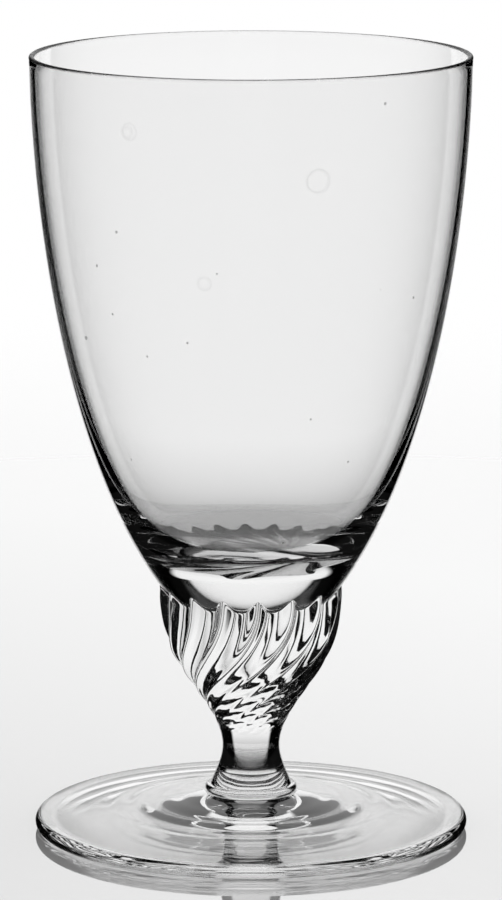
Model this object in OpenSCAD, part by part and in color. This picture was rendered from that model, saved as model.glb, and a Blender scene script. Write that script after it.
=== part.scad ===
// Footed juice glass: a blown bowl, a ribbed and twisted stem, and a round foot.
// Millimetres, +Z up. The origin is the centre of the ring that the foot stands on.

/* [Bowl] */
// Outside diameter at the rim
rim_d = 65; // [58:0.5:72]
// Height from the tips of the collar to the rim
bowl_h = 79; // [66:1:92]
// Thickness of the wall at the rim
rim_wall = 0.8; // [0.6:0.05:1.5]
// Angle by which the wall leans in just below the rim
rim_lean = 1; // [0:0.5:3]
// Diameter where the bowl goes into the collar
nose_d = 27.1; // [25.5:0.1:29]
// Radius of the round bottom that sits in the collar
nose_r = 16.8; // [15.5:0.1:19]
// Thickness of the solid bottom on the axis
bottom_t = 11.5; // [9:0.1:14]
// Diameter of the dished floor of the inside
floor_d = 25; // [22:0.1:27]
// Radius of the dished floor
floor_r = 41; // [30:0.5:60]

/* [Bowl curves] */
// Angle above level at which the wall rises out of the collar
rise_angle = 53.8; // [50:0.2:57]
// Reach of the straight upper part of the outside, as a share of its height
outside_upper = 0.37; // [0.3:0.01:0.44]
// Reach of the round lower part of the outside, as a share of its height
outside_lower = 0.265; // [0.23:0.005:0.3]
// Reach of the straight upper part of the inside, as a share of its height
inside_upper = 0.525; // [0.5:0.005:0.56]
// Reach of the round lower part of the inside, as a share of its height
inside_lower = 0.12; // [0.1:0.005:0.15]

/* [Stem] */
// Height of the straight ribbed collar
collar_h = 9.4; // [8:0.2:12]
// Height of the twisted taper from the collar to the neck
taper_h = 15.2; // [12:0.2:20]
// Height of the flare from the neck to the foot
flare_h = 7; // [5:0.2:10]
// Distance by which the collar tips stand out from the bowl
tip_stand = 0.25; // [0.2:0.05:0.8]
// Narrowing of the collar from its tips to its shoulder, over the diameter
collar_draft = 3.3; // [2:0.1:5]
// Diameter of the neck at its narrowest
neck_d = 8.5; // [7:0.1:10.5]
// Diameter of the flare where it runs into the bead
flare_d = 12.1; // [10.8:0.1:13.6]
// Radius of the round bead that rests on the foot
bead_r = 0.6; // [0.45:0.05:0.8]
// Distance by which the bead stands out from the flare
bead_stand = 0.8; // [0.4:0.05:0.85]
// Thickness of the hot glass seam between the stem and the bowl
weld_gap = 0.02; // [0.01:0.01:0.1]

/* [Ribs] */
// Number of ribs round the collar
rib_count = 16; // [12:1:20]
// Depth of the hollow between two ribs at the collar
rib_depth = 1.9; // [1.2:0.1:2.2]
// Power of the ribs' section: a high value makes narrow crests and wide hollows
rib_peak = 2; // [1:0.1:3]
// Drop of the collar's edge between two tips
scallop_h = 1.5; // [0.5:0.1:2]
// Angle of the first rib from the +X axis
rib_phase = 4.5; // [0:0.5:22.5]
// Angle by which the ribs turn from the tips down to where they fade out
twist_angle = 190; // [0:1:240]
// Power of the twist: a high value keeps the collar straight and turns the taper
twist_rise = 3.5; // [2.5:0.5:6]
// Height above the neck at which the ribs have faded out
rib_end_h = 2.6; // [2:0.1:5]

/* [Foot] */
// Diameter of the foot
foot_d = 64.6; // [58:0.2:72]
// Height of the foot at the stem
foot_h = 5.4; // [4.6:0.1:7]
// Thickness of the foot at its round edge
edge_t = 2.2; // [1.6:0.1:3]
// Width of the flat ring that the foot stands on
ring_w = 3.5; // [2:0.1:6]
// Height of the hollow under the foot
hollow_h = 0.8; // [0.3:0.1:1.6]
// Width of the level pad round the bead
pad_w = 0.6; // [0.3:0.1:1.5]
// Angle at which the foot falls away from the pad
pad_fall = 3; // [0:1:12]
// Angle at which the foot still rises at its edge
edge_rise = 2; // [0:0.5:4]

/* [Hidden] */
$fn = 96;

// Points along a long curve and along a short one
curve_steps = 20;
arc_steps = 8;

// Heights, from the table up
neck_z = foot_h + flare_h;
shoulder_z = neck_z + taper_h;
tip_z = shoulder_z + collar_h;
rim_z = tip_z + bowl_h;

// The ball that the bottom of the bowl is part of
nose_angle = asin(nose_d / 2 / nose_r);
nose_z = tip_z + nose_r * cos(nose_angle);

// Radii over the ribs at the tips and at the shoulder
collar_r = nose_d / 2 + tip_stand;
shoulder_r = collar_r - collar_draft / 2;
neck_r = neck_d / 2;

// The bead's section is a round that starts on the foot and ends where the flare begins
flare_r = flare_d / 2;
base_r = flare_r + bead_stand;
contact_r = base_r - bead_r;
bead_end = acos((flare_r - contact_r) / bead_r);
flare_z = foot_h + bead_r * (1 + sin(bead_end));

// Slopes of the stem's outline as shares of the mean slope beside them
tip_ease = 0.57;
shoulder_ease = 0.74;
base_ease = 1.25;
collar_slope = (collar_r - shoulder_r) / collar_h;
taper_slope = (shoulder_r - neck_r) / taper_h;
flare_slope = (neck_r - flare_r) / (neck_z - flare_z);

// The ribs get shallower down the stem and end here
rib_end_z = neck_z + rib_end_h;

// The rounded edge of the collar starts this far below the tips
lip_h = 3.5;
lip_z = tip_z - lip_h;
least_lip = 0.1;

// Reach of the steep and of the level part of the foot's top, as shares of its width
pad_reach = 0.25;
edge_reach = 0.42;

// Rings of points up the stem, and points across one rib
bead_rings = 7;
flare_rings = 7;
neck_rings = 3;
rib_rings = 24;
lip_rings = 5;
seat_rings = 5;
rib_points = 6;
columns = rib_count * rib_points;

function bezier(p, t) =
    pow(1 - t, 3) * p[0] + 3 * pow(1 - t, 2) * t * p[1] + 3 * (1 - t) * t * t * p[2] + pow(t, 3) * p[3];

// The points between the two ends of a curve
function curve(p) = [for (i = [1 : curve_steps - 1]) bezier(p, i / curve_steps)];

function arc(centre, radius, from, to) =
    [for (i = [0 : arc_steps])
        let (a = from + (to - from) * i / arc_steps)
        centre + radius * [cos(a), sin(a)]];

// Smooth height-to-radius curve through two radii with a slope at each
function blend(z, z0, r0, slope0, z1, r1, slope1) =
    let (h = z1 - z0, t = (z - z0) / h)
    (2 * t * t * t - 3 * t * t + 1) * r0 + (t * t * t - 2 * t * t + t) * h * slope0
    + (3 * t * t - 2 * t * t * t) * r1 + (t * t * t - t * t) * h * slope1;

// Outline of the bowl, from the bottom on the axis, up the outside and down the inside
function bowl_outline() =
    let (
        lip = rim_wall / 2,
        wall_z = rim_z - lip,
        rim_r = rim_d / 2,
        down = [-sin(rim_lean), -cos(rim_lean)],
        nose = [nose_d / 2, tip_z],
        outside_h = wall_z - tip_z,
        outside_end = outside_h * outside_lower * [cos(rise_angle), sin(rise_angle)],
        floor_angle = asin(floor_d / 2 / floor_r),
        floor_centre = [0, nose_z - nose_r + bottom_t + floor_r],
        floor_edge = floor_centre + floor_r * [sin(floor_angle), -cos(floor_angle)],
        inside_h = wall_z - floor_edge[1],
        inside_end = inside_h * inside_lower * [cos(floor_angle), sin(floor_angle)],
        outer_top = [rim_r, wall_z],
        inner_top = [rim_r - rim_wall, wall_z],
        outer_pull = outer_top + outside_h * outside_upper * down,
        inner_pull = inner_top + inside_h * inside_upper * down
    )
    concat(
        arc([0, nose_z], nose_r, -90, nose_angle - 90),
        curve([nose, nose + outside_end, outer_pull, outer_top]),
        arc([rim_r - lip, wall_z], lip, 0, 180),
        curve([inner_top, inner_pull, floor_edge + inside_end, floor_edge]),
        arc(floor_centre, floor_r, floor_angle - 90, -90)
    );

module bowl() {
    color("aliceblue", 0.4)
        rotate_extrude()
            polygon(bowl_outline());
}

// Radius over the rib crests at a height on the stem
function crest_r(z) =
    z > shoulder_z ? blend(z, shoulder_z, shoulder_r, taper_slope * shoulder_ease,
        tip_z, collar_r, collar_slope * tip_ease)
    : z > neck_z ? blend(z, neck_z, neck_r, 0, shoulder_z, shoulder_r, taper_slope * shoulder_ease)
    : blend(z, flare_z, flare_r, flare_slope * base_ease, neck_z, neck_r, 0);

// 0 at the collar tips, 1 where the ribs end and below
function rib_run(z) = min(1, (tip_z - z) / (tip_z - rib_end_z));

// 1 on the crest of a rib, 0 in the hollow between two
function rib_share(a) = pow((1 + cos(rib_count * a)) / 2, rib_peak);

function stem_r(z, a) = crest_r(z) * (1 - rib_depth / collar_r * (1 - rib_run(z)) * (1 - rib_share(a)));

function stem_turn(z) = rib_phase - twist_angle * pow(rib_run(z), twist_rise);

function stem_point(r, z, a) = [r * cos(a + stem_turn(z)), r * sin(a + stem_turn(z)), z];

// Height of the scalloped edge of the collar
function edge_z(a) = tip_z - scallop_h * (1 - rib_share(a));

// Radius of the seat for the bowl at a height
seat_r = nose_r + weld_gap;
function seat_at(z) = sqrt(seat_r * seat_r - (nose_z - z) * (nose_z - z));

// A point of the rounded edge, v from 0 on the outside to 1 on the bowl
function lip_point(v, a) =
    let (
        z = lip_z + (edge_z(a) - lip_z) * v,
        stand = max(least_lip, stem_r(z, a) - seat_at(z))
    )
    stem_point(seat_at(z) + stand * sqrt(1 - pow(v, 4)), z, a);

// A point of the seat, w from 0 at the scalloped edge to 1 on the axis
function seat_point(w, a) =
    let (lean = asin(seat_at(edge_z(a)) / seat_r) * (1 - w), turn = a + stem_turn(edge_z(a)))
    [seat_r * sin(lean) * cos(turn), seat_r * sin(lean) * sin(turn), nose_z - seat_r * cos(lean)];

// A point of the bead, t from 0 on the foot to 1 at the flare
function bead_point(t, a) =
    let (turn = (bead_end + 90) * t - 90)
    stem_point(contact_r + bead_r * cos(turn), foot_h + bead_r * (1 + sin(turn)), a);

// Rings lie closer together towards the neck, where the twist is strongest
ring_crowding = 0.6;
function rib_ring_z(i) = tip_z - (tip_z - rib_end_z) * pow(i / rib_rings, ring_crowding);

function stem_rings() =
    let (
        around = [for (j = [0 : columns - 1]) 360 * j / columns],
        lower_z = [for (i = [1 : flare_rings]) flare_z + (neck_z - flare_z) * i / flare_rings],
        upper_z = [for (i = [1 : neck_rings]) neck_z + rib_end_h * i / neck_rings],
        rib_z = [for (i = [rib_rings - 1 : -1 : 1]) if (rib_ring_z(i) < lip_z) rib_ring_z(i)],
        body_z = concat(lower_z, upper_z, rib_z)
    )
    concat(
        [for (i = [0 : bead_rings]) [for (a = around) bead_point(i / bead_rings, a)]],
        [for (z = body_z) [for (a = around) stem_point(stem_r(z, a), z, a)]],
        [for (i = [0 : lip_rings]) [for (a = around) lip_point(i / lip_rings, a)]],
        [for (i = [1 : seat_rings - 1]) [for (a = around) seat_point(i / seat_rings, a)]]
    );

// A closed skin over rings of points, with one point to close each end
module ring_skin(rings, first, last) {
    n = len(rings[0]);
    top = len(rings) * n;
    sides = [for (i = [0 : len(rings) - 2], j = [0 : n - 1])
        let (k = (j + 1) % n, low = i * n, up = low + n)
        each [[low + j, up + j, low + k], [low + k, up + j, up + k]]];
    ends = [for (j = [0 : n - 1])
        let (k = (j + 1) % n)
        each [[top, j, k], [top + 1, top - n + k, top - n + j]]];
    points = concat([for (ring = rings) each ring], [first, last]);
    polyhedron(points, concat(sides, ends), convexity = 6);
}

module stem() {
    color("aliceblue", 0.5)
        ring_skin(stem_rings(), [0, 0, foot_h], [0, 0, nose_z - seat_r]);
}

// Outline of the foot, from the pad out over the top, round the edge and under
function foot_outline() =
    let (
        pad = [base_r + pad_w, foot_h],
        round = edge_t / 2,
        edge = [foot_d / 2 - round, edge_t],
        span = edge[0] - pad[0],
        ring_in = edge[0] - ring_w,
        hollow_r = (ring_in * ring_in + hollow_h * hollow_h) / (2 * hollow_h),
        hollow_angle = asin(ring_in / hollow_r),
        pad_pull = span * pad_reach * [cos(pad_fall), -sin(pad_fall)],
        edge_pull = span * edge_reach * [-cos(edge_rise), sin(edge_rise)]
    )
    concat(
        [[0, foot_h], pad],
        curve([pad, pad + pad_pull, edge + edge_pull, edge]),
        arc([edge[0], round], round, 90, -90),
        arc([0, hollow_h - hollow_r], hollow_r, 90 - hollow_angle, 90)
    );

module foot() {
    color("aliceblue", 0.45)
        rotate_extrude()
            polygon(foot_outline());
}

bowl();
stem();
foot();
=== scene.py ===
"""Looks of a footed juice glass: clear blown bowl, ribbed and twisted stem, and round foot.

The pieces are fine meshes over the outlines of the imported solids. The turn of the ribs and the
foot's underside and slopes are nearer to the photo than the solids are. Where two pieces are fused
on the real glass, their touching faces let light pass straight through.
"""
import math

import bpy
import bmesh
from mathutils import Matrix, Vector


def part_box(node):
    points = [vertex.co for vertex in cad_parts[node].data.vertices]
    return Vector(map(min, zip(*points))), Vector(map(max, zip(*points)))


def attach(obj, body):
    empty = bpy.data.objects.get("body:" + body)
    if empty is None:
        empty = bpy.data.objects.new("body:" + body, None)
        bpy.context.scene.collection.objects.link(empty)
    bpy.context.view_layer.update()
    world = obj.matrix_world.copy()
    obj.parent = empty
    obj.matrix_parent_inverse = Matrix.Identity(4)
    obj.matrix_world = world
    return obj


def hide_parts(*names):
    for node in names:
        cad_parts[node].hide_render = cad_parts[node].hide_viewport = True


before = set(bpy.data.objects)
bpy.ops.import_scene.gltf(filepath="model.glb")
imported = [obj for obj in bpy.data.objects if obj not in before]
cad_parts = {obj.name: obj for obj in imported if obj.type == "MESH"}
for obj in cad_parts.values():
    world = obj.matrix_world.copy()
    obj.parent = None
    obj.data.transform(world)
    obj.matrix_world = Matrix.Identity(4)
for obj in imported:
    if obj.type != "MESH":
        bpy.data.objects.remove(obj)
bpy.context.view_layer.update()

MM = 0.001

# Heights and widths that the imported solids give, in millimetres
BOWL_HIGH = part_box("bowl")[1] / MM
STEM_LOW, STEM_HIGH = [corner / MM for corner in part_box("stem")]
FOOT_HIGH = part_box("foot")[1] / MM
RIM_Z = BOWL_HIGH[2]
RIM_R = BOWL_HIGH[0]
TIP_Z = STEM_HIGH[2]
FOOT_H = STEM_LOW[2]
FOOT_R = FOOT_HIGH[0]

# The bowl's own sizes in millimetres and degrees, as the solid has them
RIM_WALL = 0.8
RIM_LEAN = 1.0
RISE_ANGLE = 53.8
NOSE_R = 16.8
NOSE_TOP_R = 13.55
BOTTOM_T = 11.5
FLOOR_TOP_R = 12.5
FLOOR_R = 41.0
OUTSIDE_UPPER, OUTSIDE_LOWER = 0.37, 0.265
INSIDE_UPPER, INSIDE_LOWER = 0.525, 0.12

# The stem's own sizes, with a gentler turn and later fade of the ribs than in the solid
COLLAR_H = 9.4
FLARE_H = 7.0
TIP_STAND = 0.25
COLLAR_DRAFT = 3.3
NECK_R = 4.25
FLARE_R = 6.05
BEAD_STAND = 0.8
BEAD_R = 0.6
RIB_COUNT = 16
RIB_DEPTH = 1.9
RIB_PHASE = 4.5
RIB_END_H = 2.6
RIB_PEAK = 2.0
RIB_FADE = 0.75
SCALLOP_H = 1.5
TWIST_ANGLE = 122.0
TWIST_RISE = 2.4
LIP_H = 3.5
LEAST_LIP = 0.1
TIP_EASE, SHOULDER_EASE, BASE_EASE = 0.57, 0.74, 1.25

# The foot's own sizes, for a thinner shell with a deeper hollow than in the solid
EDGE_T = 2.2
RING_W = 1.6
HOLLOW_H = 2.2
PAD_W = 0.05
PAD_FALL, EDGE_RISE = 14.0, 5.0
PAD_REACH, EDGE_REACH = 0.42, 0.36
RIPPLE_FROM, RIPPLE_TO, RIPPLE_STEP, RIPPLE_H = 7.0, 25.0, 3.7, 0.035

# Heights and radii that follow
NECK_Z = FOOT_H + FLARE_H
SHOULDER_Z = TIP_Z - COLLAR_H
COLLAR_R = NOSE_TOP_R + TIP_STAND
SHOULDER_R = COLLAR_R - COLLAR_DRAFT / 2
RIB_END_Z = NECK_Z + RIB_END_H
NOSE_ANGLE = math.asin(NOSE_TOP_R / NOSE_R)
NOSE_Z = TIP_Z + NOSE_R * math.cos(NOSE_ANGLE)
BASE_R = FLARE_R + BEAD_STAND
CONTACT_R = BASE_R - BEAD_R
BEAD_END = math.acos((FLARE_R - CONTACT_R) / BEAD_R)
FLARE_Z = FOOT_H + BEAD_R * (1 + math.sin(BEAD_END))

# Mesh fineness: points per rib, and rings per band
RIB_POINTS = 16
COLUMNS = RIB_COUNT * RIB_POINTS
WALL_RINGS, RIM_RINGS, FLOOR_RINGS, SEAT_RINGS, SHOULDER_RINGS = 90, 20, 24, 16, 6
BASE_RINGS, BEAD_RINGS, FLARE_RINGS, NECK_RINGS, RIB_RINGS, LIP_RINGS = 4, 16, 30, 14, 110, 24
RIB_RING_SPREAD = 1.3
CONTACT_RINGS, LEVEL_RINGS, TOP_RINGS, EDGE_RINGS, STAND_RINGS, HOLLOW_RINGS = 6, 4, 160, 24, 6, 40

# Material index of a face
GLASS, SEAM, RIM = 0, 1, 2


def bezier(points, steps):
    """The points between the two ends of a cubic curve of (radius, height) points."""
    made = []
    for i in range(1, steps):
        t = i / steps
        share = ((1 - t) ** 3, 3 * (1 - t) ** 2 * t, 3 * (1 - t) * t * t, t ** 3)
        made.append(tuple(sum(s * p[k] for s, p in zip(share, points)) for k in (0, 1)))
    return made


def arc(centre, radius, start, end, steps):
    """Points of a round, from one angle to another in radians."""
    made = []
    for i in range(steps + 1):
        a = start + (end - start) * i / steps
        made.append((centre[0] + radius * math.cos(a), centre[1] + radius * math.sin(a)))
    return made


def moved(point, distance, angle):
    """A (radius, height) point moved by a distance along an angle."""
    return (point[0] + distance * math.cos(angle), point[1] + distance * math.sin(angle))


def hermite(z, low, high):
    """Radius at a height between two (height, radius, slope) stations."""
    h = high[0] - low[0]
    t = (z - low[0]) / h
    rise = 3 * t * t - 2 * t ** 3
    return ((1 - rise) * low[1] + rise * high[1]
            + (t ** 3 - 2 * t * t + t) * h * low[2] + (t ** 3 - t * t) * h * high[2])


def around():
    """The angle of each column of points, in degrees, from the crest of the first rib."""
    return [360 * j / COLUMNS for j in range(COLUMNS)]


def at(r, z, angle):
    """A point in metres from a radius and height in millimetres and an angle in degrees."""
    a = math.radians(angle)
    return (r * math.cos(a) * MM, r * math.sin(a) * MM, z * MM)


def round_ring(point):
    """A level ring of points through a (radius, height) point."""
    return [at(point[0], point[1], a + RIB_PHASE) for a in around()]


# Ribs


def crest_r(z):
    """Radius over the rib crests at a height."""
    taper_slope = (SHOULDER_R - NECK_R) / (SHOULDER_Z - NECK_Z) * SHOULDER_EASE
    shoulder = (SHOULDER_Z, SHOULDER_R, taper_slope)
    neck = (NECK_Z, NECK_R, 0)
    if z > SHOULDER_Z:
        tip_slope = (COLLAR_R - SHOULDER_R) / COLLAR_H * TIP_EASE
        return hermite(z, shoulder, (TIP_Z, COLLAR_R, tip_slope))
    if z > NECK_Z:
        return hermite(z, neck, shoulder)
    base_slope = (NECK_R - FLARE_R) / (NECK_Z - FLARE_Z) * BASE_EASE
    return hermite(z, (FLARE_Z, FLARE_R, base_slope), neck)


def rib_run(z):
    """0 at the collar tips, 1 where the ribs end and below."""
    return min(1, max(0, (TIP_Z - z) / (TIP_Z - RIB_END_Z)))


def rib_share(a):
    """1 on the crest of a rib, 0 in the hollow between two."""
    return ((1 + math.cos(math.radians(RIB_COUNT * a))) / 2) ** RIB_PEAK


def stem_r(z, a):
    fade = (1 - rib_run(z)) ** RIB_FADE
    return crest_r(z) * (1 - RIB_DEPTH / COLLAR_R * fade * (1 - rib_share(a)))


def stem_at(r, z, a):
    return at(r, z, a + RIB_PHASE - TWIST_ANGLE * rib_run(z) ** TWIST_RISE)


def edge_z(a):
    """Height of the scalloped edge of the collar."""
    return TIP_Z - SCALLOP_H * (1 - rib_share(a))


def nose_at(z):
    """Radius of the bowl's round bottom at a height."""
    return math.sqrt(NOSE_R ** 2 - (NOSE_Z - z) ** 2)


def nose_point(lean, a):
    return at(NOSE_R * math.sin(lean), NOSE_Z - NOSE_R * math.cos(lean), a + RIB_PHASE)


def edge_lean(a):
    """Angle from straight down at which the scalloped edge lies on the bowl's bottom."""
    return math.asin(nose_at(edge_z(a)) / NOSE_R)


def lip_point(v, a):
    """A point of the collar's rounded edge, from 0 on the outside to 1 on the bowl."""
    low = TIP_Z - LIP_H
    z = low + (edge_z(a) - low) * v
    stand = max(LEAST_LIP, stem_r(z, a) - nose_at(z))
    return stem_at(nose_at(z) + stand * math.sqrt(1 - v ** 4), z, a)


def bead_point(t, a):
    turn = (BEAD_END + math.pi / 2) * t - math.pi / 2
    return stem_at(CONTACT_R + BEAD_R * math.cos(turn), FOOT_H + BEAD_R * (1 + math.sin(turn)), a)


# Pieces


def skin(name, bands, first, last, materials):
    """A closed mesh over bands of rings, each band with the index of its material."""
    mesh = bpy.data.meshes.new(name)
    bm = bmesh.new()
    rings = [(ring, index) for rings_of_band, index in bands for ring in rings_of_band]
    verts = [([bm.verts.new(p) for p in ring], index) for ring, index in rings]
    ends = [bm.verts.new(first), bm.verts.new(last)]

    def add(corners, index):
        face = bm.faces.new(corners)
        face.material_index = index
        face.smooth = True

    for (low, index), (up, up_index) in zip(verts, verts[1:]):
        for j in range(COLUMNS):
            k = (j + 1) % COLUMNS
            add((low[j], low[k], up[k], up[j]), up_index)
    for j in range(COLUMNS):
        k = (j + 1) % COLUMNS
        add((ends[0], verts[0][0][k], verts[0][0][j]), verts[0][1])
        add((ends[1], verts[-1][0][j], verts[-1][0][k]), verts[-1][1])
    for edge in bm.edges:
        sides = {face.material_index for face in edge.link_faces}
        edge.smooth = len(sides) == 1 or SEAM not in sides
    bm.to_mesh(mesh)
    bm.free()
    piece = bpy.data.objects.new(name, mesh)
    bpy.context.scene.collection.objects.link(piece)
    for material in materials:
        mesh.materials.append(material)
    return piece


def bowl_bands():
    down = math.radians(-90 - RIM_LEAN)
    rise = math.radians(RISE_ANGLE)
    lip = RIM_WALL / 2
    wall_z = RIM_Z - lip
    nose = (NOSE_TOP_R, TIP_Z)
    outer_top = (RIM_R, wall_z)
    inner_top = (RIM_R - RIM_WALL, wall_z)
    outside_h = wall_z - TIP_Z
    floor_angle = math.asin(FLOOR_TOP_R / FLOOR_R)
    floor_centre = (0, NOSE_Z - NOSE_R + BOTTOM_T + FLOOR_R)
    floor_edge = moved(floor_centre, FLOOR_R, floor_angle - math.pi / 2)
    inside_h = wall_z - floor_edge[1]
    outside = bezier((nose, moved(nose, outside_h * OUTSIDE_LOWER, rise),
                      moved(outer_top, outside_h * OUTSIDE_UPPER, down), outer_top), WALL_RINGS)
    inside = bezier((inner_top, moved(inner_top, inside_h * INSIDE_UPPER, down),
                     moved(floor_edge, inside_h * INSIDE_LOWER, floor_angle), floor_edge),
                    WALL_RINGS)
    rim = arc((RIM_R - lip, wall_z), lip, 0, math.pi, RIM_RINGS)
    floor = arc(floor_centre, FLOOR_R, floor_angle - math.pi / 2, -math.pi / 2, FLOOR_RINGS)[:-1]
    seat = [[nose_point(edge_lean(a) * i / SEAT_RINGS, a) for a in around()]
            for i in range(1, SEAT_RINGS + 1)]
    shoulder = [[nose_point(edge_lean(a) + (NOSE_ANGLE - edge_lean(a)) * i / SHOULDER_RINGS, a)
                 for a in around()] for i in range(1, SHOULDER_RINGS + 1)]
    outer = [round_ring(p) for p in outside + rim[:1]]
    lip_rings = [round_ring(p) for p in rim[1:]]
    inner = [round_ring(p) for p in inside + floor]
    bands = [(seat, SEAM), (shoulder + outer, GLASS), (lip_rings, RIM), (inner, GLASS)]
    return bands, floor_centre[1] - FLOOR_R


def make_bowl(glass, seam, satin):
    bands, floor_z = bowl_bands()
    return skin("bowl_glass", bands, at(0, NOSE_Z - NOSE_R, 0), at(0, floor_z, 0),
                (glass, seam, satin))


def make_stem(glass, seam):
    base = [[at(CONTACT_R * i / BASE_RINGS, FOOT_H, a + RIB_PHASE - TWIST_ANGLE) for a in around()]
            for i in range(1, BASE_RINGS + 1)]
    bead = [[bead_point(i / BEAD_RINGS, a) for a in around()] for i in range(1, BEAD_RINGS + 1)]
    heights = [FLARE_Z + (NECK_Z - FLARE_Z) * i / FLARE_RINGS for i in range(1, FLARE_RINGS + 1)]
    heights += [NECK_Z + RIB_END_H * i / NECK_RINGS for i in range(1, NECK_RINGS + 1)]
    rib_h = TIP_Z - LIP_H - RIB_END_Z
    heights += [RIB_END_Z + rib_h * (i / RIB_RINGS) ** RIB_RING_SPREAD for i in range(1, RIB_RINGS)]
    body = [[stem_at(stem_r(z, a), z, a) for a in around()] for z in heights]
    lip = [[lip_point(math.sin(math.pi / 2 * i / LIP_RINGS), a) for a in around()]
           for i in range(LIP_RINGS + 1)]
    seat = [[nose_point(edge_lean(a) * (1 - i / SEAT_RINGS), a) for a in around()]
            for i in range(1, SEAT_RINGS)]
    bands = [(base, SEAM), (bead + body + lip, GLASS), (seat, SEAM)]
    return skin("stem_glass", bands, at(0, FOOT_H, 0), at(0, NOSE_Z - NOSE_R, 0),
                (glass, seam))


def rippled(point):
    """A point of the foot's top with the faint rings that the shaping tool leaves."""
    share = min(1, max(0, (point[0] - RIPPLE_FROM) / (RIPPLE_TO - RIPPLE_FROM)))
    wave = math.sin(2 * math.pi * (point[0] - RIPPLE_FROM) / RIPPLE_STEP)
    return (point[0], point[1] + RIPPLE_H * wave * math.sin(math.pi * share))


def make_foot(glass, seam):
    pad = (BASE_R + PAD_W, FOOT_H)
    half = EDGE_T / 2
    edge = (FOOT_R - half, EDGE_T)
    span = edge[0] - pad[0]
    ring_in = edge[0] - RING_W
    hollow_r = (ring_in ** 2 + HOLLOW_H ** 2) / (2 * HOLLOW_H)
    hollow_angle = math.asin(ring_in / hollow_r)
    contact = [(CONTACT_R * i / CONTACT_RINGS, FOOT_H) for i in range(CONTACT_RINGS, 0, -1)]
    level = [(CONTACT_R + (pad[0] - CONTACT_R) * i / LEVEL_RINGS, FOOT_H)
             for i in range(LEVEL_RINGS, 0, -1)]
    top = bezier((pad, moved(pad, span * PAD_REACH, -math.radians(PAD_FALL)),
                  moved(edge, span * EDGE_REACH, math.pi - math.radians(EDGE_RISE)), edge),
                 TOP_RINGS)
    top = [rippled(p) for p in top]
    rim = arc((edge[0], half), half, math.pi / 2, -math.pi / 2, EDGE_RINGS)
    ring = [(edge[0] - RING_W * i / STAND_RINGS, 0) for i in range(1, STAND_RINGS)]
    hollow = arc((0, HOLLOW_H - hollow_r), hollow_r, math.pi / 2 - hollow_angle, math.pi / 2,
                 HOLLOW_RINGS)[:-1]
    skin_points = hollow[::-1] + ring[::-1] + rim[::-1] + top[::-1] + level
    bands = [([round_ring(p) for p in skin_points], GLASS),
             ([round_ring(p) for p in contact], SEAM)]
    return skin("foot_glass", bands, at(0, HOLLOW_H, 0), at(0, FOOT_H, 0), (glass, seam))


# Materials

GLASS_IOR, GLASS_TINT = 1.52, 0.998
FILM_SCALE, FILM_LOW, FILM_HIGH = 38, (0.62, 0.0), (0.85, 0.03)
DUST_SCALE, DUST_SHARE, DUST_SIZE = 210.0, 0.3, 0.055
DUST_HAZE, DUST_SHADE = 0.3, 0.75
GRAIN_SCALE, GRAIN_LOW, GRAIN_HIGH = 900, (0.3, 0.25), (0.7, 0.4)

# Dried drops: centre and radius in millimetres, width of the line they leave, its haze and shade
DROPS = (((9.5, -30.1, 101.4), 1.7), ((-17.0, -26.3, 108.0), 1.2), ((-6.8, -30.3, 86.5), 1.3))
DROP_LINE, DROP_HAZE, DROP_SHADE = 0.28, 0.02, 0.1


def clear_glass(name, wave_scale, wave_height, drops=()):
    """Polished glass with dust, the rings of dried drops and the faint waves of hand work."""
    material = bpy.data.materials.new(name)
    material.use_nodes = True
    tree = material.node_tree
    nodes, links = tree.nodes, tree.links
    shader = nodes["Principled BSDF"]
    shader.inputs["IOR"].default_value = GLASS_IOR
    shader.inputs["Transmission Weight"].default_value = 1
    place = nodes.new("ShaderNodeTexCoord").outputs["Object"]

    dust = nodes.new("ShaderNodeTexVoronoi")
    dust.inputs["Scale"].default_value = DUST_SCALE
    links.new(place, dust.inputs["Vector"])
    split = nodes.new("ShaderNodeSeparateColor")
    links.new(dust.outputs["Color"], split.inputs[0])
    size = ramp(tree, split.outputs["Red"], (1 - DUST_SHARE, 0.0), (1.0, DUST_SIZE))
    marks = sum_up(tree, "LESS_THAN", dust.outputs["Distance"], size)
    stains = 0.0
    for centre, radius in drops:
        reach = nodes.new("ShaderNodeVectorMath")
        reach.operation = "DISTANCE"
        reach.inputs[1].default_value = [v * MM for v in centre]
        links.new(place, reach.inputs[0])
        off = sum_up(tree, "SUBTRACT", reach.outputs["Value"], radius * MM)
        off = sum_up(tree, "ABSOLUTE", off, 0)
        stain = ramp(tree, off, (0.0, 1.0), (DROP_LINE * MM, 0.0))
        stains = sum_up(tree, "MAXIMUM", stains, stain)

    smear = nodes.new("ShaderNodeTexNoise")
    smear.inputs["Scale"].default_value = FILM_SCALE
    smear.inputs["Detail"].default_value = 4
    links.new(place, smear.inputs["Vector"])
    film = ramp(tree, smear.outputs["Fac"], FILM_LOW, FILM_HIGH)
    haze = sum_up(tree, "ADD", film, sum_up(tree, "MULTIPLY", marks, DUST_HAZE))
    haze = sum_up(tree, "ADD", haze, sum_up(tree, "MULTIPLY", stains, DROP_HAZE))
    links.new(haze, shader.inputs["Roughness"])
    shade = sum_up(tree, "MULTIPLY", marks, DUST_SHADE)
    shade = sum_up(tree, "ADD", shade, sum_up(tree, "MULTIPLY", stains, DROP_SHADE))
    links.new(sum_up(tree, "SUBTRACT", GLASS_TINT, shade), shader.inputs["Base Color"])

    wave = nodes.new("ShaderNodeTexNoise")
    wave.inputs["Scale"].default_value = wave_scale
    wave.inputs["Detail"].default_value = 1
    links.new(place, wave.inputs["Vector"])
    bump = nodes.new("ShaderNodeBump")
    bump.inputs["Distance"].default_value = wave_height * MM
    links.new(wave.outputs["Fac"], bump.inputs["Height"])
    links.new(bump.outputs["Normal"], shader.inputs["Normal"])
    return material


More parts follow.
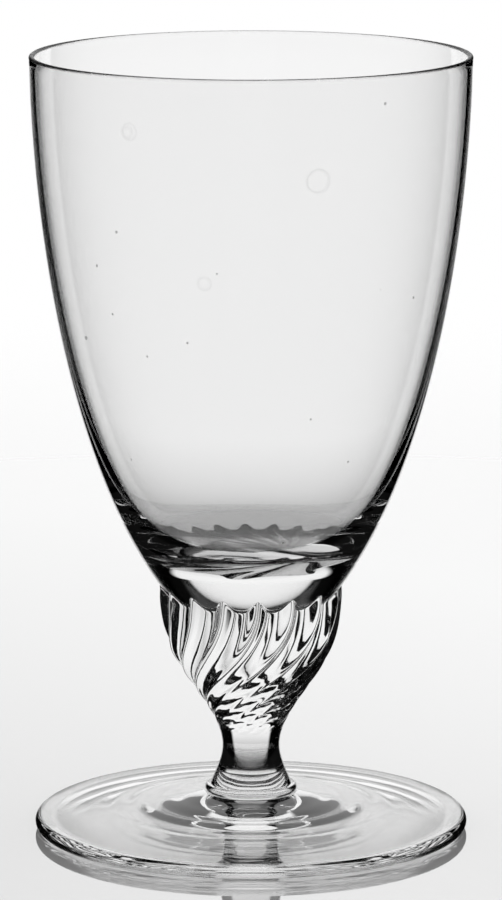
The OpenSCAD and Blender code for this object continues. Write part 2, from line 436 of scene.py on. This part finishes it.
def satin_glass(name):
    """The slightly dull edge of the rim."""
    material = bpy.data.materials.new(name)
    material.use_nodes = True
    tree = material.node_tree
    shader = tree.nodes["Principled BSDF"]
    shader.inputs["Base Color"].default_value = (0.99, 0.99, 0.99, 1)
    shader.inputs["IOR"].default_value = GLASS_IOR
    shader.inputs["Transmission Weight"].default_value = 1
    grain = tree.nodes.new("ShaderNodeTexNoise")
    grain.inputs["Scale"].default_value = GRAIN_SCALE
    tree.links.new(tree.nodes.new("ShaderNodeTexCoord").outputs["Object"], grain.inputs["Vector"])
    rough = ramp(tree, grain.outputs["Fac"], GRAIN_LOW, GRAIN_HIGH)
    tree.links.new(rough, shader.inputs["Roughness"])
    return material


def fused_seam(name):
    """Faces inside the glass, where two pieces are one body: light goes straight on."""
    material = bpy.data.materials.new(name)
    material.use_nodes = True
    nodes, links = material.node_tree.nodes, material.node_tree.links
    nodes.remove(nodes["Principled BSDF"])
    clear = nodes.new("ShaderNodeBsdfTransparent")
    links.new(clear.outputs[0], nodes["Material Output"].inputs["Surface"])
    return material


# Stage

CAMERA_AT = (0.0, -0.796, 0.2056)
CAMERA_PITCH = 10.5635
CAMERA_LENS = 218.7

# The far card: distance in metres, then angles from the camera in degrees
BACKDROP_AWAY = 6.0
CARD_REACH, CARD_LOW, CARD_HIGH = 45.0, -40.0, 62.0
CARD_HALF, CARD_WIDENS, CARD_SOFT = (12.0, 26.0), (14.0, 30.0), 0.35
CARD_FULL, CARD_END, CARD_LEAST = 28, 60, 0.05

# The near window in its black screen, in metres, and its light at the top and at the table
WINDOW_AWAY, WINDOW_HALF, WINDOW_SOFT = 0.100, 0.0505, 0.006
WINDOW_TOP = (0.100, 1.0), (0.200, 0.05)
WINDOW_FOOT = (0.0, 0.66), (0.035, 1.0)
WINDOW_LOW = -0.0003
SCREEN_HALF, SCREEN_LOW, SCREEN_HIGH = 0.6, -0.3, 0.7

# The floor in metres, its painted light and shade (darker towards the camera and on the left,
# lighter away and on the right), its gloss and its lit patch
FLOOR_RADIUS, FLOOR_SIDES, FLOOR_Z = 0.5, 128, -0.0002
PAINTED_LIGHT_AWAY = (-0.1, 0.82), (0.25, 1.02)
PAINTED_LIGHT_ASIDE = (-0.05, -0.03), (0.05, 0.03)
GLOSS_ROUGHNESS, GLOSS_POWER = 0.04, 1.1
PATCH_AT, PATCH_LIT, PATCH_FULL, PATCH_END = (0, 0.08, 0), 0.4, 0.025, 0.065

# The unlit room, by how far up a ray goes
ROOM_LOW, ROOM_HIGH = (0.75, 0.005), (1.0, 0.012)


def make_camera():
    data = bpy.data.cameras.new("camera")
    data.lens = CAMERA_LENS
    data.sensor_width = 36
    data.clip_end = 100
    camera = bpy.data.objects.new("camera", data)
    camera.location = CAMERA_AT
    camera.rotation_euler = (math.radians(90 - CAMERA_PITCH), 0, 0)
    bpy.context.scene.collection.objects.link(camera)
    bpy.context.scene.camera = camera
    return camera


def on_card(azimuth, elevation):
    """Where a direction from the camera, in degrees, meets the card, in the camera's own axes."""
    a, e, p = [math.radians(v) for v in (azimuth, elevation, CAMERA_PITCH)]
    level = math.cos(a) * math.cos(e)
    away = level * math.cos(p) - math.sin(e) * math.sin(p)
    up = level * math.sin(p) + math.sin(e) * math.cos(p)
    side = math.sin(a) * math.cos(e)
    return (side / away * BACKDROP_AWAY, up / away * BACKDROP_AWAY, -BACKDROP_AWAY)


def make_backdrop(camera):
    """A lit white card behind the glass, which goes round with the camera as on a turntable."""
    corners = ((-CARD_REACH, CARD_LOW), (CARD_REACH, CARD_LOW),
               (CARD_REACH, CARD_HIGH), (-CARD_REACH, CARD_HIGH))
    mesh = bpy.data.meshes.new("backdrop")
    mesh.from_pydata([on_card(*corner) for corner in corners], [], [(0, 1, 2, 3)])
    card = bpy.data.objects.new("backdrop", mesh)
    bpy.context.scene.collection.objects.link(card)
    card.parent = camera
    mesh.materials.append(backdrop_material())


def in_camera_axes(x, y, z):
    """A point of the studio, in the camera's own axes."""
    ahead, up = y - CAMERA_AT[1], z - CAMERA_AT[2]
    p = math.radians(CAMERA_PITCH)
    return (x - CAMERA_AT[0], ahead * math.sin(p) + up * math.cos(p),
            up * math.sin(p) - ahead * math.cos(p))


def make_window(camera):
    """A black screen with a lit window close behind, for the glass and the floor's gloss."""
    corners = ((-SCREEN_HALF, SCREEN_LOW), (SCREEN_HALF, SCREEN_LOW),
               (SCREEN_HALF, SCREEN_HIGH), (-SCREEN_HALF, SCREEN_HIGH))
    mesh = bpy.data.meshes.new("window")
    mesh.from_pydata([in_camera_axes(x, WINDOW_AWAY, z) for x, z in corners], [], [(0, 1, 2, 3)])
    window = bpy.data.objects.new("window", mesh)
    bpy.context.scene.collection.objects.link(window)
    window.parent = camera
    window.visible_camera = False
    window.visible_diffuse = False
    window.visible_shadow = False
    mesh.materials.append(window_material())


def window_material():
    """White, soft at the sides and top, dimmer at the table for rays through glass."""
    material = bpy.data.materials.new("window_white")
    material.use_nodes = True
    tree = material.node_tree
    tree.nodes.remove(tree.nodes["Principled BSDF"])
    place = tree.nodes.new("ShaderNodeTexCoord")
    split = tree.nodes.new("ShaderNodeSeparateXYZ")
    tree.links.new(place.outputs["Generated"], split.inputs[0])
    across = ramp(tree, split.outputs["X"], (0.0, -SCREEN_HALF), (1.0, SCREEN_HALF))
    aside = sum_up(tree, "ABSOLUTE", across, 0)
    height = ramp(tree, split.outputs["Y"], (0.0, SCREEN_LOW), (1.0, SCREEN_HIGH))
    sides = ramp(tree, aside, (WINDOW_HALF - WINDOW_SOFT, 1.0), (WINDOW_HALF + WINDOW_SOFT, 0.0),
                 smooth=True)
    top = ramp(tree, height, *WINDOW_TOP, smooth=True)
    path = tree.nodes.new("ShaderNodeLightPath")
    other_rays = sum_up(tree, "SUBTRACT", 1, path.outputs["Is Transmission Ray"])
    foot = sum_up(tree, "MAXIMUM", ramp(tree, height, *WINDOW_FOOT), other_rays)
    shape = sum_up(tree, "MULTIPLY", sides, sum_up(tree, "MULTIPLY", top, foot))
    above = sum_up(tree, "GREATER_THAN", height, WINDOW_LOW)
    glow = tree.nodes.new("ShaderNodeEmission")
    tree.links.new(sum_up(tree, "MULTIPLY", shape, above), glow.inputs["Strength"])
    tree.links.new(glow.outputs[0], tree.nodes["Material Output"].inputs["Surface"])
    return material


def ramp(tree, source, low, high, smooth=False):
    """The source brought from one range to another; low and high are (source, result) pairs."""
    node = tree.nodes.new("ShaderNodeMapRange")
    node.interpolation_type = "SMOOTHSTEP" if smooth else "LINEAR"
    for socket, value in zip(("From Min", "To Min", "From Max", "To Max"), low + high):
        node.inputs[socket].default_value = value
    tree.links.new(source, node.inputs["Value"])
    return node.outputs[0]


def sum_up(tree, operation, first, second):
    """A math node over two sources or numbers."""
    node = tree.nodes.new("ShaderNodeMath")
    node.operation = operation
    for socket, source in zip(node.inputs, (first, second)):
        if isinstance(source, (int, float)):
            socket.default_value = source
        else:
            tree.links.new(source, socket)
    return node.outputs[0]


def backdrop_material():
    """White, soft at both sides and at the top, narrow at the table's height and wider above."""
    material = bpy.data.materials.new("backdrop_white")
    material.use_nodes = True
    tree = material.node_tree
    tree.nodes.remove(tree.nodes["Principled BSDF"])
    place = tree.nodes.new("ShaderNodeTexCoord")
    split = tree.nodes.new("ShaderNodeSeparateXYZ")
    tree.links.new(place.outputs["Object"], split.inputs[0])
    aside = sum_up(tree, "ARCTAN2", sum_up(tree, "ABSOLUTE", split.outputs["X"], 0), BACKDROP_AWAY)
    lift = sum_up(tree, "ARCTAN2", split.outputs["Y"], BACKDROP_AWAY)
    height = sum_up(tree, "ABSOLUTE", sum_up(tree, "SUBTRACT", lift, math.radians(CAMERA_PITCH)), 0)
    narrow, wide = [(math.radians(h), half) for h, half in zip(CARD_WIDENS, CARD_HALF)]
    half = ramp(tree, height, narrow, wide)
    share = sum_up(tree, "DIVIDE", aside, sum_up(tree, "RADIANS", half, 0))
    soft_sides = ramp(tree, share, (1 - CARD_SOFT, 1.0), (1 + CARD_SOFT, 0.0), smooth=True)
    soft_top = ramp(tree, height, (math.radians(CARD_FULL), 1.0),
                    (math.radians(CARD_END), CARD_LEAST))
    glow = tree.nodes.new("ShaderNodeEmission")
    tree.links.new(sum_up(tree, "MULTIPLY", soft_sides, soft_top), glow.inputs["Strength"])
    tree.links.new(glow.outputs[0], tree.nodes["Material Output"].inputs["Surface"])
    return material


def make_floor():
    mesh = bpy.data.meshes.new("floor")
    bm = bmesh.new()
    bmesh.ops.create_circle(bm, cap_ends=True, radius=FLOOR_RADIUS, segments=FLOOR_SIDES)
    bm.to_mesh(mesh)
    bm.free()
    floor = bpy.data.objects.new("floor", mesh)
    floor.location = (0, 0, FLOOR_Z)
    bpy.context.scene.collection.objects.link(floor)
    mesh.materials.append(floor_material())


def floor_material():
    """A pale plate with painted light and shade and a clear gloss that fades out; glass sees only a
    patch of it lit.
    """
    material = bpy.data.materials.new("floor_pale")
    material.use_nodes = True
    tree = material.node_tree
    nodes, links = tree.nodes, tree.links
    nodes.remove(nodes["Principled BSDF"])
    place = nodes.new("ShaderNodeTexCoord")
    split = nodes.new("ShaderNodeSeparateXYZ")
    links.new(place.outputs["Object"], split.inputs[0])
    length = nodes.new("ShaderNodeVectorMath")
    length.operation = "LENGTH"
    links.new(place.outputs["Object"], length.inputs[0])
    fade = ramp(tree, length.outputs["Value"], (0.0, 1.0), (FLOOR_RADIUS, 0.0), smooth=True)
    reach = nodes.new("ShaderNodeVectorMath")
    reach.operation = "DISTANCE"
    reach.inputs[1].default_value = PATCH_AT
    links.new(place.outputs["Object"], reach.inputs[0])
    near = ramp(tree, reach.outputs["Value"], (PATCH_FULL, PATCH_LIT), (PATCH_END, 0.0),
                smooth=True)
    path = nodes.new("ShaderNodeLightPath")
    seen = sum_up(tree, "MULTIPLY", fade, path.outputs["Is Camera Ray"])
    # Painted light and shade: the floor's colour and its gloss are darker towards the camera and on
    # the left, lighter away from it and on the right
    away = ramp(tree, split.outputs["Y"], *PAINTED_LIGHT_AWAY)
    aside = ramp(tree, split.outputs["X"], *PAINTED_LIGHT_ASIDE)
    painted_light = sum_up(tree, "MINIMUM", sum_up(tree, "ADD", away, aside), 1)
    clear = nodes.new("ShaderNodeBsdfTransparent")
    pale = nodes.new("ShaderNodeBsdfDiffuse")
    links.new(painted_light, pale.inputs["Color"])
    body = nodes.new("ShaderNodeMixShader")
    links.new(sum_up(tree, "MAXIMUM", near, seen), body.inputs["Fac"])
    links.new(clear.outputs[0], body.inputs[1])
    links.new(pale.outputs[0], body.inputs[2])
    gloss = nodes.new("ShaderNodeBsdfGlossy")
    gloss.inputs["Roughness"].default_value = GLOSS_ROUGHNESS
    links.new(painted_light, gloss.inputs["Color"])
    facing = nodes.new("ShaderNodeLayerWeight")
    facing.inputs["Blend"].default_value = 0.5
    low_angle = sum_up(tree, "POWER", facing.outputs["Facing"], GLOSS_POWER)
    plate = nodes.new("ShaderNodeMixShader")
    links.new(sum_up(tree, "MULTIPLY", low_angle, fade), plate.inputs["Fac"])
    links.new(body.outputs[0], plate.inputs[1])
    links.new(gloss.outputs[0], plate.inputs[2])
    links.new(plate.outputs[0], nodes["Material Output"].inputs["Surface"])
    return material


def make_world():
    """White for the camera and for the floor's light, dark as an unlit room for the glass."""
    world = bpy.data.worlds.new("studio")
    bpy.context.scene.world = world
    world.use_nodes = True
    world.cycles.sampling_method = "NONE"
    tree = world.node_tree
    path = tree.nodes.new("ShaderNodeLightPath")
    lit = sum_up(tree, "MAXIMUM", path.outputs["Is Camera Ray"], path.outputs["Diffuse Depth"])
    lit = sum_up(tree, "MAXIMUM", lit, path.outputs["Is Diffuse Ray"])
    place = tree.nodes.new("ShaderNodeTexCoord")
    split = tree.nodes.new("ShaderNodeSeparateXYZ")
    tree.links.new(place.outputs["Generated"], split.inputs[0])
    room = ramp(tree, split.outputs["Z"], ROOM_LOW, ROOM_HIGH)
    level = sum_up(tree, "MAXIMUM", room, sum_up(tree, "MINIMUM", lit, 1))
    tree.nodes["Background"].inputs["Color"].default_value = (1, 1, 1, 1)
    tree.links.new(level, tree.nodes["Background"].inputs["Strength"])


def set_light_paths():
    cycles = bpy.context.scene.cycles
    cycles.max_bounces = 32
    cycles.transmission_bounces = 32
    cycles.glossy_bounces = 24
    cycles.transparent_max_bounces = 32


def dress(piece, node):
    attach(piece, "root")
    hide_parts(node)


seam = fused_seam("fused_seam")
dress(make_bowl(clear_glass("bowl_clear", 30, 0.03, DROPS), seam, satin_glass("rim_satin")), "bowl")
dress(make_stem(clear_glass("stem_clear", 300, 0.03), seam), "stem")
dress(make_foot(clear_glass("foot_clear", 70, 0.015), seam), "foot")
camera = make_camera()
make_backdrop(camera)
make_window(camera)
make_floor()
make_world()
set_light_paths()
bpy.context.scene.view_settings.view_transform = "Standard"
